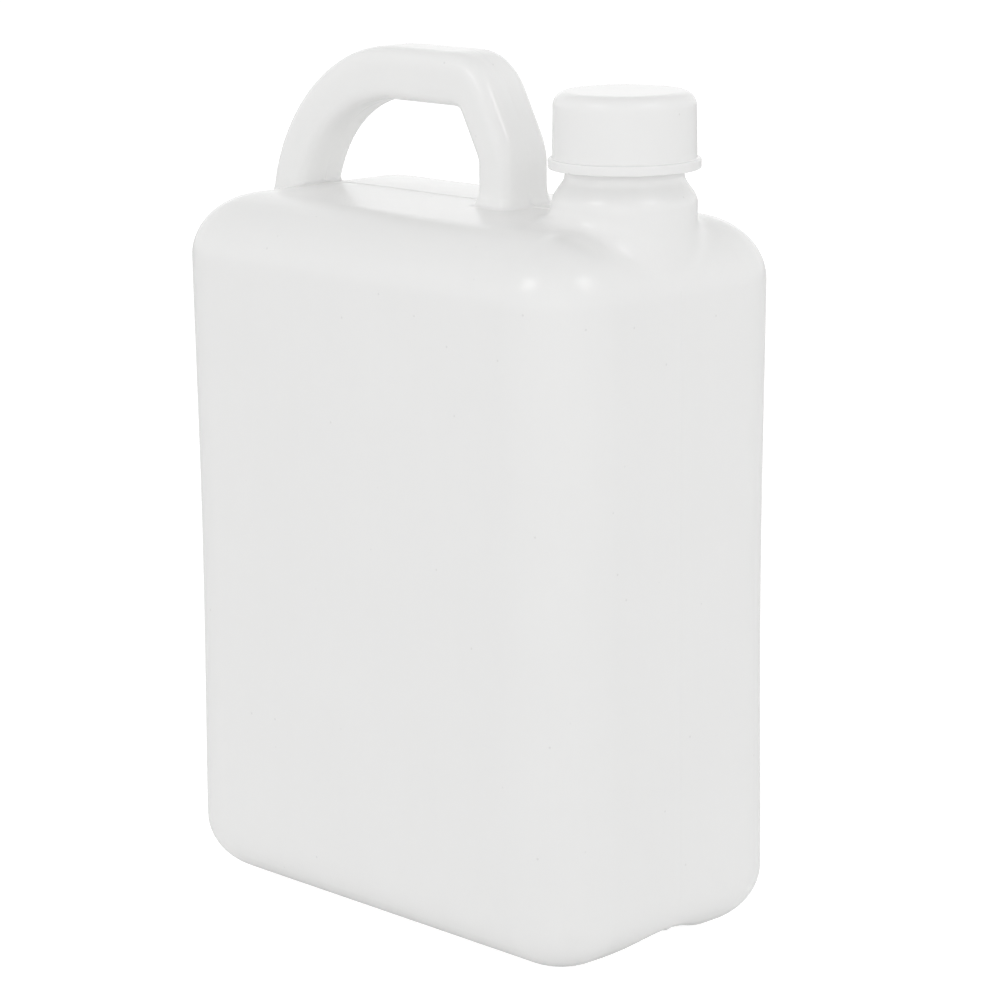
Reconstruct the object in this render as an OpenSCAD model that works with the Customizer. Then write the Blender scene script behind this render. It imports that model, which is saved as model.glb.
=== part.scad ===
// Flat five litre bottle with a moulded top handle and a screw cap.
// Millimetres. The bottle stands on z = 0 and its wide side runs along x.
// The handle lies in the y = 0 plane and the neck is at the +x end.

/* [Body] */
// Width of the body at the base
body_w = 202.6; // [180:0.2:260]
// Depth of the body, front to back
body_d = 115.6; // [90:0.2:160]
// Height of the shoulder line above the ground
body_h = 255.8; // [180:0.2:360]
// How much wider the body is at the top than at the base
body_taper = 0.8; // [0:0.1:8]
// Radius of the upright corners
corner_r = 26; // [16:0.5:32]
// Height of the rounding between the sides and the top
shoulder_h = 22.6; // [14:0.1:32]
// Reach along x of the rounding at the top
shoulder_w = 27.8; // [18:0.1:34]
// Reach along y of the rounding at the top
shoulder_d = 26.8; // [18:0.1:34]
// Height of the rounding between the sides and the base
heel_h = 21.7; // [10:0.5:32]
// How far the sides sink in at mid height
waist = 0.7; // [0:0.1:4]
// Rise of the top from its edges to the middle line
crown = 1.3; // [0.4:0.1:4]
// Wall thickness of the bottle
wall = 1.4; // [1:0.1:2.4]

/* [Base] */
// Width of the channel that runs along under the base
channel_w = 44; // [24:1:50]
// Rise of the channel above the ground at mid length
channel_h = 3; // [2:0.1:6]
// Length of the stretch over which the channel keeps its shape
channel_flat = 100; // [60:1:130]
// Width of the channel where it runs out at the ends
channel_end_w = 80; // [50:1:88]
// Rise of the channel at the ends
channel_end_h = 9.5; // [6:0.1:12]
// Height of the weld line in the channel
weld_h = 0.7; // [0.3:0.1:0.9]
// Width of the weld line
weld_w = 2; // [1:0.1:4]

/* [Handle] */
// Distance of the outer leg's middle from the side of the body
handle_inset = 11.9; // [11:0.1:20]
// Distance between the middles of the two legs
handle_span = 110.4; // [100:0.2:114]
// Height of the handle above the shoulder line
handle_rise = 52; // [47:0.2:70]
// Thickness of the legs along x
leg_t = 16.6; // [13:0.2:18]
// Thickness of the grip bar, top to underside
bar_t = 18.9; // [14:0.1:21]
// Width of the handle along y
handle_w = 22.5; // [17:0.5:32]
// Rounding of the handle's section
handle_edge = 5.2; // [3:0.1:6]
// Radius of the large bend over the outer leg
outer_bend = 57.6; // [30:0.2:60]
// Radius of the tight bend at the neck end of the bar
inner_bend = 14; // [10:0.5:16]
// Steepness of the slanted stretch in degrees
slant = 61.8; // [55:0.2:72]
// Height above the shoulder line at which the slant turns upright
knee_h = 17.6; // [14:0.2:22]
// Radius of the bend between the slant and the upright leg
knee_bend = 14; // [10:0.5:20]
// How much each side of a leg widens at its foot
foot_flare = 1.2; // [0:0.1:1.6]
// Height over which the feet widen
flare_h = 7; // [4:0.5:10]

/* [Neck] */
// Distance of the neck's axis from the side of the body
neck_inset = 26.4; // [26:0.1:32]
// Diameter of the collar under the neck
collar_d = 49.4; // [46:0.1:50]
// Height of the collar above the shoulder line
collar_h = 7.5; // [5:0.1:16]
// Height of the cone between the collar and the neck
cone_h = 6.4; // [4:0.2:12]
// Diameter of the neck under its thread
neck_d = 40.4; // [34:0.2:42]
// Height of the neck from the cone to the lip
neck_h = 25.9; // [24:0.1:34]
// Wall thickness of the neck
neck_wall = 2; // [1.4:0.1:3]

/* [Thread] */
// Rise of the thread in one turn
lead = 5; // [4.6:0.1:6]
// Turns of thread on the neck
neck_turns = 2; // [1:0.25:2.5]
// Turns of thread inside the cap
cap_turns = 1.5; // [1:0.25:2]
// Height of the thread above the neck
thread_h = 1.7; // [1.3:0.1:1.8]
// Height of a thread along the axis at its root
thread_root = 2.8; // [2.2:0.1:3]
// Height of a thread along the axis at its crest
thread_tip = 1.2; // [0.8:0.1:1.6]
// Room between the two threads
thread_room = 0.35; // [0.2:0.05:0.5]

/* [Cap] */
// Wall thickness of the cap's skirt
cap_wall = 2.2; // [1.4:0.05:3]
// Thickness of the cap's top plate
cap_top_t = 2; // [1.4:0.1:4]
// Bevel in the corner inside the cap
cap_bevel = 0.9; // [0.4:0.1:0.9]
// Rounding of the cap's top edge
cap_round = 4.9; // [3:0.1:6]
// How far the rim stands out around the foot of the cap
rim_out = 1.4; // [0.6:0.1:3]
// Height of that rim
rim_h = 3.4; // [2:0.1:5]
// Distance of the closed cap's rim from the cone
rim_gap = 3.6; // [1:0.1:4.6]
// Thickness of the sealing disc
liner_t = 1.6; // [1:0.1:3]
// Room between the sealing disc and the bevel of the cap
liner_room = 0.3; // [0.2:0.05:0.4]

/* [Seam] */
// Width of the raised line where the halves of the mould met
seam_w = 1; // [0.6:0.1:2]
// Height of that line
seam_h = 0.3; // [0.1:0.05:0.6]

/* [Hidden] */

$fn = 96;
plastic = [0.88, 0.88, 0.874];
foam = [0.84, 0.84, 0.83];

// Steps of the lofted shapes
corner_steps = 9;
round_steps = 10;
side_steps = 6;
crown_steps = 3;
arch_steps = 8;
end_steps = 5;
bend_steps = 14;
section_steps = 5;
turn_steps = 40;
arc_steps = 8;

// Body
half_w = body_w / 2;
half_d = body_d / 2;
flat_top = body_h - crown;
side_h = flat_top - shoulder_h - heel_h;
least_corner = 5;
crown_end = 0.06;
crown_reach = 8;
overrun = 4;

// Handle, its path runs in x and z from the outer foot to the inner foot
leg_x0 = -half_w + handle_inset;
leg_x1 = leg_x0 + handle_span;
bar_z = body_h + handle_rise - bar_t / 2;
knee_z = body_h + knee_h;
slant_x = leg_x1 - (bar_z - knee_z) / tan(slant);
foot_z = flat_top - shoulder_h - wall;
outer_flare_z = foot_z + shoulder_h;
bend_cut = inner_bend * tan(slant / 2);
knee_turn = 90 - slant;
knee_cut = knee_bend * tan(knee_turn / 2);
flare_z = body_h + flare_h;

// Neck, from the ground up
neck_x = half_w - neck_inset;
collar_r = collar_d / 2;
neck_r = neck_d / 2;
bore_r = neck_r - neck_wall;
collar_z = body_h + collar_h;
cone_z = collar_z + cone_h;
lip_z = cone_z + neck_h;
collar_foot = flat_top - shoulder_h;
lip_round = 0.6;

// Thread, a rib's height falls by flank for each unit away from its root
crest_r = neck_r + thread_h;
flank = (thread_root - thread_tip) / 2 / thread_h;
lip_margin = 2.4;
thread_start = lip_z - lip_margin - thread_root / 2 - neck_turns * lead;
sunk = 0.4;
fade_steps = 5;

// Cap, stacked on the lip
skirt_in = crest_r + thread_room;
skirt_r = skirt_in + cap_wall;
rim_r = skirt_r + rim_out;
rim_z = cone_z + rim_gap;
plate_z = lip_z + liner_t;
cap_z = plate_z + cap_top_t;
cap_crest_r = neck_r + thread_room;
cap_flank = (skirt_in - neck_r) * flank;
mate_drop = thread_root - cap_flank + thread_room;
cap_thread_phase = 0.5;
cap_thread_z = thread_start - mate_drop + cap_thread_phase * lead;
liner_r = skirt_in - cap_bevel - liner_room;

// How far the sides stand out from the base's size at a height
function swell(z) = body_taper / 2 * z / body_h - waist * pow(sin(180 * z / body_h), 2);

// One level of the body: height, half x, half y, corner x, corner y
function level(z, x_in, y_in, g) =
    let (x = half_w + swell(z) - g - x_in, y = half_d + swell(z) - g - y_in)
    [z, x, y, min(y, max(least_corner, corner_r - g - x_in)), min(y, max(least_corner, corner_r - g - y_in))];

// The levels of the body from the base up, with its surface set in by g
function heel_levels(g) = [
    for (i = [0 : round_steps - 1])
    let (a = 90 * i / round_steps, reach = (corner_r - g) * (1 - sin(a)))
    level(g + (heel_h - g) * (1 - cos(a)), reach, reach, g)
];
function side_levels(g) = [
    for (i = [0 : side_steps])
    level(heel_h + side_h * i / side_steps, 0, 0, g)
];
function shoulder_levels(g) = [
    for (i = [1 : round_steps])
    let (a = 90 - 90 * i / round_steps)
    level(flat_top - g - (shoulder_h - g) * (1 - cos(a)), (shoulder_w - g) * (1 - sin(a)),
        (shoulder_d - g) * (1 - sin(a)), g)
];
function crown_levels(g) = [
    for (i = [1 : crown_steps])
    let (k = 1 - (1 - crown_end) * i / crown_steps)
    level(flat_top - g + crown * (1 - k * k), shoulder_w - g + crown_reach * (1 - k),
        (shoulder_d - g) + (half_d - shoulder_d) * (1 - k), g)
];
function body_levels(g) = concat(heel_levels(g), side_levels(g), shoulder_levels(g), crown_levels(g));

// Points round a rectangle with rounded corners, seen from above and to the left round
function rounded(x, y, cx, cy, steps) = [
    for (q = [0 : 3])
    for (i = [0 : steps])
    let (a = 90 * q + 90 * i / steps, sx = (q == 0 || q == 3) ? 1 : -1, sy = q < 2 ? 1 : -1)
    [sx * (x - cx) + cx * cos(a), sy * (y - cy) + cy * sin(a)]
];
function body_ring(l) = [for (p = rounded(l[1], l[2], l[3], l[4], corner_steps)) [p[0], p[1], l[0]]];

// Handle path: x, z, direction, thickness; late is the share of a bend before its thickness changes
function arc_path(x, z, r, from, to, t0, t1, late) = [
    for (i = [0 : bend_steps])
    let (k = i / bend_steps, a = from + (to - from) * k, ease = max(0, (k - late) / (1 - late)))
    [x + r * cos(a), z + r * sin(a), a - 90, t0 + (t1 - t0) * (1 - cos(180 * ease)) / 2]
];
handle_path = concat(
    [[leg_x0, foot_z, 90, leg_t]],
    arc_path(leg_x0 + outer_bend, bar_z - outer_bend, outer_bend, 180, 90, leg_t, bar_t, 0.35),
    arc_path(slant_x - bend_cut, bar_z - inner_bend, inner_bend, 90, 90 - slant, bar_t, leg_t, 0),
    arc_path(leg_x1 - knee_bend, knee_z - knee_cut, knee_bend, 90 - slant, 0, leg_t, leg_t, 0),
    [[leg_x1, flare_z, -90, leg_t],
    [leg_x1, flare_z - flare_h / 3, -90, leg_t],
    [leg_x1, flare_z - 2 * flare_h / 3, -90, leg_t],
    [leg_x1, body_h, -90, leg_t],
    [leg_x1, foot_z, -90, leg_t]]
);
function widen(p) =
    let (top = p[2] < 0 ? flare_z : outer_flare_z)
    foot_flare * pow(max(0, min(1, (top - p[1]) / flare_h)), 2);

// One section of the handle, with its surface set in by g
function handle_ring(p, g) =
    let (w = widen(p), u = p[3] / 2 + w - g, v = handle_w / 2 + w - g, c = handle_edge - g)
    [for (s = rounded(u, v, c, c, section_steps))
        [p[0] - s[0] * sin(p[2]), -s[1], p[1] + s[0] * cos(p[2])]];
function seam_rise(z) = seam_h * max(0, min(1, (z - collar_foot) / shoulder_h));
function handle_side(p, side) =
    let (u = side * (p[3] / 2 + widen(p) + seam_h))
    [p[0] - u * sin(p[2]), p[1] + u * cos(p[2])];

// Section of a thread at one angle, between the radii ra and rb with half heights ha and hb
function rib(a, z, ra, rb, ha, hb) = [
    for (s = [[ra, -ha], [ra, ha], [rb, hb], [rb, -hb]])
    [s[0] * cos(a), s[0] * sin(a), z + s[1]]
];
function fade(i, n) = min(1, i / fade_steps, (n - i) / fade_steps);
function neck_ribs() =
    let (n = round(neck_turns * turn_steps))
    [for (i = [0 : n])
        let (tip = -sunk / 2 + (thread_h + sunk / 2) * fade(i, n))
        rib(360 * i / turn_steps, thread_start + lead * i / turn_steps, neck_r - sunk, neck_r + tip,
            thread_root / 2 + sunk * flank, thread_root / 2 - tip * flank)];
function cap_ribs() =
    let (n = round(cap_turns * turn_steps), depth = skirt_in - cap_crest_r)
    [for (i = [0 : n])
        let (tip = -sunk / 2 + (depth + sunk / 2) * fade(i, n))
        rib(360 * (cap_thread_phase + i / turn_steps), cap_thread_z + lead * i / turn_steps, skirt_in - tip,
            skirt_in + sunk, thread_root / 2 - tip * flank, thread_root / 2 + sunk * flank)];

// Section of the channel at x, raised by g, with the weld line hanging down into it
function channel_ring(x, g, ridge) =
    let (
        k = max(0, (abs(x) - channel_flat / 2) / (half_w - channel_flat / 2)),
        half = (channel_w + (channel_end_w - channel_w) * k) / 2,
        top = channel_h + (channel_end_h - channel_h) * k,
        arch = [
            for (i = [0 : arch_steps])
            let (y = half - (half - weld_w) * i / arch_steps)
            [y, g + top * (1 + cos(180 * y / half)) / 2]
        ],
        peak = arch[arch_steps][1],
        outline = concat(
            [[-half, -1], [half, -1]],
            arch,
            [[weld_w / 2, peak - ridge], [-weld_w / 2, peak - ridge]],
            [for (i = [arch_steps : -1 : 0]) [-arch[i][0], arch[i][1]]]
        )
    )
    [for (p = outline) [x, p[0], p[1]]];
function channel_x(i) =
    let (run = half_w + overrun - channel_flat / 2)
    sign(i) * (channel_flat / 2 + run * (abs(i) - 1) / end_steps);

// Quarter of a circle about x, y from one angle to another
function arc(x, y, r, from, to) = [
    for (i = [0 : arc_steps])
    let (a = from + (to - from) * i / arc_steps)
    [x + r * cos(a), y + r * sin(a)]
];

// Closed skin over a list of rings with the same number of points
module loft(rings) {
    n = len(rings[0]);
    m = len(rings);
    sides = [
        for (i = [0 : m - 2])
        for (j = [0 : n - 1])
        for (f = [
            [i * n + j, (i + 1) * n + j, (i + 1) * n + (j + 1) % n],
            [i * n + j, (i + 1) * n + (j + 1) % n, i * n + (j + 1) % n]
        ]) f
    ];
    ends = [[for (j = [0 : n - 1]) j], [for (j = [0 : n - 1]) m * n - 1 - j]];
    polyhedron(points = [for (r = rings) each r], faces = concat(sides, ends));
}

module body(g) {
    loft([for (l = body_levels(g)) body_ring(l)]);
}

// The channel under the base, raised by g; ridge is the height of the weld line in it
module channel(g, ridge) {
    last = end_steps + 1;
    loft([for (i = [-last : last]) if (i != 0) channel_ring(channel_x(i), g, ridge)]);
}

module cavity() {
    difference() {
        body(wall);
        channel(wall, 0);
    }
}

module handle(g) {
    loft([for (p = handle_path) handle_ring(p, g)]);
}

module seams() {
    levels = body_levels(0);
    rotate([90, 0, 0])
    linear_extrude(seam_w, center = true) {
        polygon(concat(
            [for (l = levels) [l[1] + seam_h, l[0] + seam_rise(l[0])]],
            [for (i = [len(levels) - 1 : -1 : 0])
                let (l = levels[i])
                [-l[1] - seam_h, l[0] + seam_rise(l[0])]]
        ));
        polygon(concat(
            [for (p = handle_path) handle_side(p, 1)],
            [for (i = [len(handle_path) - 1 : -1 : 0]) handle_side(handle_path[i], -1)]
        ));
    }
}

module neck() {
    translate([neck_x, 0, 0])
    rotate_extrude()
    polygon(concat(
        [[0, collar_foot], [collar_r, collar_foot], [collar_r, collar_z], [neck_r, cone_z]],
        [[neck_r, lip_z - lip_round], [neck_r - lip_round, lip_z], [0, lip_z]]
    ));
    translate([neck_x, 0, 0])
    loft(neck_ribs());
}

module neck_bore() {
    mouth = collar_r - neck_wall;
    translate([neck_x, 0, 0])
    rotate_extrude()
    polygon([
        [0, collar_foot - wall],
        [mouth, collar_foot - wall],
        [mouth, collar_z - neck_wall / 2],
        [bore_r, cone_z - neck_wall / 2],
        [bore_r, lip_z + 1],
        [0, lip_z + 1]
    ]);
}

module bottle() {
    color(plastic)
    difference() {
        union() {
            body(0);
            handle(0);
            seams();
            neck();
        }
        cavity();
        handle(wall);
        neck_bore();
        channel(0, weld_h);
    }
}

module screw_cap() {
    color(plastic)
    translate([neck_x, 0, 0]) {
        rotate_extrude()
        polygon(concat(
            [[skirt_in, rim_z], [rim_r - lip_round, rim_z], [rim_r, rim_z + lip_round]],
            [[rim_r, rim_z + rim_h - lip_round], [rim_r - lip_round, rim_z + rim_h]],
            [[skirt_r, rim_z + rim_h]],
            arc(skirt_r - cap_round, cap_z - cap_round, cap_round, 0, 90),
            [[0, cap_z], [0, plate_z], [skirt_in - cap_bevel, plate_z], [skirt_in, plate_z - cap_bevel]]
        ));
        loft(cap_ribs());
    }
}

module cap_liner() {
    color(foam)
    translate([neck_x, 0, lip_z])
    cylinder(r = liner_r, h = liner_t);
}

bottle();
screw_cap();
cap_liner();
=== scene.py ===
import logging
import math
from collections.abc import Callable, Sequence
from dataclasses import dataclass, field
from enum import Enum

import bpy
import numpy as np
from mathutils import Matrix, Vector


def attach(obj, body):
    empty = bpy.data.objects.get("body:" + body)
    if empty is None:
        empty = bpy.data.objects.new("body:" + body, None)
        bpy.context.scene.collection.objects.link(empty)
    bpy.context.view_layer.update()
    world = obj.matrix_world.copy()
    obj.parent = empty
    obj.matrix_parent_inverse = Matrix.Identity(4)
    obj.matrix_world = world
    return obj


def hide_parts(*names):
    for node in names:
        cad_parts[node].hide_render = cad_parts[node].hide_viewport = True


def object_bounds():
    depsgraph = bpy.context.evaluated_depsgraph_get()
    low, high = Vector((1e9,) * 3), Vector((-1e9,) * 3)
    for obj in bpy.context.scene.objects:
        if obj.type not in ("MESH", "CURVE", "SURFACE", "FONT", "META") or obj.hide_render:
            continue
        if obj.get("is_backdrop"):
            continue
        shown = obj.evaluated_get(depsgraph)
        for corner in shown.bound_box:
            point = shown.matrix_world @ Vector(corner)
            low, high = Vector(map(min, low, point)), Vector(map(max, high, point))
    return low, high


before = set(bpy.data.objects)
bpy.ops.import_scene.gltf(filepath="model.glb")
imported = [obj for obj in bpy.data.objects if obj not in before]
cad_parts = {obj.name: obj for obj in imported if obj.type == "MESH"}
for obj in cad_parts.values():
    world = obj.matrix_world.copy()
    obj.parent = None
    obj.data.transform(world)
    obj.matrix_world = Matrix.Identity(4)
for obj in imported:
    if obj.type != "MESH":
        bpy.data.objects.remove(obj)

LOG = logging.getLogger("bottle")

# The sizes below are in millimetres, and each mesh is scaled to metres once.
MM = 0.001

Solid = Callable[[np.ndarray, np.ndarray, np.ndarray], np.ndarray]
Profile = list[tuple[float, float]]

WHITE = (1.0, 1.0, 1.0, 1.0)


class Slot(Enum):
    """Names of material slots."""

    BOTTLE = "bottle_plastic"
    CAP = "cap_plastic"
    LINER = "liner_foam"


class Body(Enum):
    """The bodies that the pieces ride on."""

    BOTTLE = "bottle"
    LINER = "liner"
    CAP = "cap"


# ---------------------------------------------------------------- shapes


def smooth_min(a: np.ndarray, b: np.ndarray, k: float | np.ndarray) -> np.ndarray:
    """Joins two distance fields with a soft fillet.

    Args:
        a: First field, negative inside.
        b: Second field, negative inside.
        k: Reach of the fillet.

    Returns:
        The field of the joined solids.
    """
    h = np.maximum(k - np.abs(a - b), 0.0)
    return np.minimum(a, b) - h * h / (4.0 * np.maximum(k, 1e-6))


def smooth_max(a: np.ndarray, b: np.ndarray, k: float | np.ndarray) -> np.ndarray:
    """Cuts two distance fields with each other and eases the edge.

    Args:
        a: First field, negative inside.
        b: Second field, negative inside.
        k: Reach of the easing.

    Returns:
        The field of the space that both share.
    """
    return -smooth_min(-a, -b, k)


def smooth_step(low: float, high: float, value: np.ndarray) -> np.ndarray:
    """Rises softly from 0 at low to 1 at high.

    Args:
        low: Value where the rise starts.
        high: Value where it ends.
        value: Values to look up.

    Returns:
        The eased share for each value.
    """
    t = np.clip((value - low) / (high - low), 0.0, 1.0)
    return t * t * (3.0 - 2.0 * t)


def steps(*stops: tuple[float, float]) -> np.ndarray:
    """Makes a run of grid lines whose spacing changes from stretch to stretch.

    Args:
        stops: Pairs of where a stretch starts and its spacing. The last pair's place ends the run.

    Returns:
        The places of the grid lines, in order.
    """
    lines: list[float] = []
    for (start, gap), (end, _) in zip(stops, stops[1:]):
        count = max(1, round((end - start) / gap))
        lines.extend(start + (end - start) * i / count for i in range(count))
    lines.append(stops[-1][0])
    return np.array(lines)


@dataclass
class Skin:
    """A mesh in the making: points in millimetres and faces as point numbers."""

    points: np.ndarray
    faces: np.ndarray

    def flipped(self) -> "Skin":
        """Returns the same skin with its faces turned round."""
        return Skin(self.points, self.faces[:, ::-1])

    def rim_points(self) -> np.ndarray:
        """Returns the numbers of the points on the skin's open edge."""
        edges = np.concatenate([self.faces[:, [i, (i + 1) % 4]] for i in range(4)])
        edges = np.sort(edges[edges[:, 0] != edges[:, 1]], axis=1)
        pairs, counts = np.unique(edges, axis=0, return_counts=True)
        return np.unique(pairs[counts == 1])

    def settled(
        self,
        solid: Solid,
        offset: float,
        rounds: int = 3,
        reach: float = 0.05,
        longest: float = 1.2,
    ) -> "Skin":
        """Moves the points onto the exact surface of a field.

        Args:
            solid: The distance field.
            offset: Value of the field on the wanted surface.
            rounds: How many Newton steps are taken.
            reach: Distance over which the slope is measured.
            longest: Greatest length of one step.

        Returns:
            The skin on the surface.
        """
        points = self.points.copy()
        for _ in range(rounds):
            x, y, z = points.T
            value = solid(x, y, z) - offset
            slope = np.stack(
                [
                    solid(x + reach, y, z) - solid(x - reach, y, z),
                    solid(x, y + reach, z) - solid(x, y - reach, z),
                    solid(x, y, z + reach) - solid(x, y, z - reach),
                ],
                axis=1,
            ) / (2.0 * reach)
            square = np.maximum((slope * slope).sum(axis=1), 0.05)
            move = (value / square)[:, None] * slope
            length = np.linalg.norm(move, axis=1, keepdims=True)
            points -= move * np.minimum(1.0, longest / np.maximum(length, 1e-9))
        return Skin(points, self.faces)


def net(solid: Solid, offset: float, lines: Sequence[np.ndarray]) -> Skin:
    """Stretches a net of four-sided faces over the surface of a distance field.

    Args:
        solid: The distance field, negative inside.
        offset: Value of the field on the wanted surface.
        lines: Grid lines along x, y and z.

    Returns:
        The net, with its faces turned outwards.
    """
    x, y, z = np.meshgrid(*lines, indexing="ij")
    value = solid(x, y, z) - offset
    value[value == 0.0] = 1e-9
    inside = (value < 0.0).astype(np.int8)
    corners = sum(
        inside[a : a + value.shape[0] - 1, b : b + value.shape[1] - 1, c : c + value.shape[2] - 1]
        for a in (0, 1)
        for b in (0, 1)
        for c in (0, 1)
    )
    mixed = (corners > 0) & (corners < 8)
    number = np.full(mixed.shape, -1)
    number[mixed] = np.arange(mixed.sum())
    total = np.zeros((mixed.sum(), 3))
    count = np.zeros(mixed.sum())
    faces: list[np.ndarray] = []
    for axis in range(3):
        near = np.moveaxis(value, axis, 0)[:-1]
        far = np.moveaxis(value, axis, 0)[1:]
        crossing = np.argwhere((near < 0.0) != (far < 0.0))
        start = near[tuple(crossing.T)]
        share = start / (start - far[tuple(crossing.T)])
        order = [axis] + [other for other in range(3) if other != axis]
        at = np.empty_like(crossing)
        at[:, order] = crossing
        spot = np.stack([lines[c][at[:, c]] for c in range(3)], axis=1)
        spot[:, axis] += share * (lines[axis][at[:, axis] + 1] - spot[:, axis])
        one, two = (axis + 1) % 3, (axis + 2) % 3
        ring = []
        for back_one, back_two in ((1, 1), (0, 1), (0, 0), (1, 0)):
            cell = at.copy()
            cell[:, one] -= back_one
            cell[:, two] -= back_two
            ok = (cell >= 0).all(axis=1) & (cell < np.array(mixed.shape)).all(axis=1)
            found = np.full(len(cell), -1)
            found[ok] = number[tuple(cell[ok].T)]
            ring.append(found)
            good = found >= 0
            count += np.bincount(found[good], minlength=len(count))
            for c in range(3):
                total[:, c] += np.bincount(found[good], spot[good, c], len(count))
        quads = np.stack(ring, axis=1)
        whole = (quads >= 0).all(axis=1)
        out = start < 0.0
        faces.append(quads[whole & out])
        faces.append(quads[whole & ~out][:, ::-1])
    return Skin(total / count[:, None], np.concatenate(faces))


def lathe(profile: Profile, around: int, shape: Callable | None = None) -> Skin:
    """Turns a profile round the z axis.

    Args:
        profile: Radius and height of each point of the profile.
        around: Number of steps round the axis.
        shape: Gives the radii of the points from radius, height and angle, or None to keep them.

    Returns:
        The turned skin. The profile runs up the outside for faces that look outwards.
    """
    outline = np.array(profile, dtype=float)
    angle = np.arange(around) * 2.0 * math.pi / around
    radius = np.repeat(outline[:, :1], around, axis=1)
    height = np.repeat(outline[:, 1:], around, axis=1)
    turn = np.repeat(angle[None, :], len(outline), axis=0)
    if shape is not None:
        radius = shape(radius, height, turn)
    points = np.stack([radius * np.cos(turn), radius * np.sin(turn), height], axis=2)
    row = np.arange(len(outline) - 1)[:, None] * around
    here = np.arange(around)[None, :]
    after = (here + 1) % around
    faces = np.stack([row + here, row + after, row + around + after, row + around + here], axis=2)
    return Skin(points.reshape(-1, 3), faces.reshape(-1, 4))


def bend(cx: float, cz: float, radius: float, start: float, end: float, count: int) -> Profile:
    """Gives points on an arc of a profile.

    Args:
        cx: Radius of the arc's centre from the axis.
        cz: Height of the arc's centre.
        radius: Radius of the arc.
        start: First angle in degrees.
        end: Last angle in degrees.
        count: Number of steps.

    Returns:
        The points from start to end.
    """
    angles = np.radians(np.linspace(start, end, count + 1))
    return [(cx + radius * math.cos(a), cz + radius * math.sin(a)) for a in angles]


def straight(x0: float, z0: float, x1: float, z1: float, gap: float) -> Profile:
    """Gives the points between two ends of a straight stretch of a profile, without the ends.

    Args:
        x0: Radius at the start.
        z0: Height at the start.
        x1: Radius at the end.
        z1: Height at the end.
        gap: Greatest distance between two points.

    Returns:
        The points in between.
    """
    count = max(1, math.ceil(math.hypot(x1 - x0, z1 - z0) / gap))
    return [(x0 + (x1 - x0) * i / count, z0 + (z1 - z0) * i / count) for i in range(1, count)]


def add_piece(
    name: str, skins: Sequence[Skin], place: tuple[float, float, float] = (0.0, 0.0, 0.0)
) -> bpy.types.Object:
    """Makes one object out of a list of skins.

    Args:
        name: Name of the object.
        skins: The skins, in millimetres.
        place: Shift of the skins, in millimetres.

    Returns:
        The new object, at the origin and in metres.
    """
    first = 0
    points: list[np.ndarray] = []
    faces: list[np.ndarray] = []
    for skin in skins:
        points.append((skin.points + np.array(place)) * MM)
        faces.append(skin.faces + first)
        first += len(skin.points)
    mesh = bpy.data.meshes.new(name)
    rings = [list(dict.fromkeys(face)) for face in np.concatenate(faces).tolist()]
    rings = [ring for ring in rings if len(ring) > 2]
    mesh.from_pydata(np.concatenate(points).tolist(), [], rings)
    mesh.shade_smooth()
    mesh.validate()
    piece = bpy.data.objects.new(name, mesh)
    bpy.context.scene.collection.objects.link(piece)
    return piece


# ---------------------------------------------------------------- finishes


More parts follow.
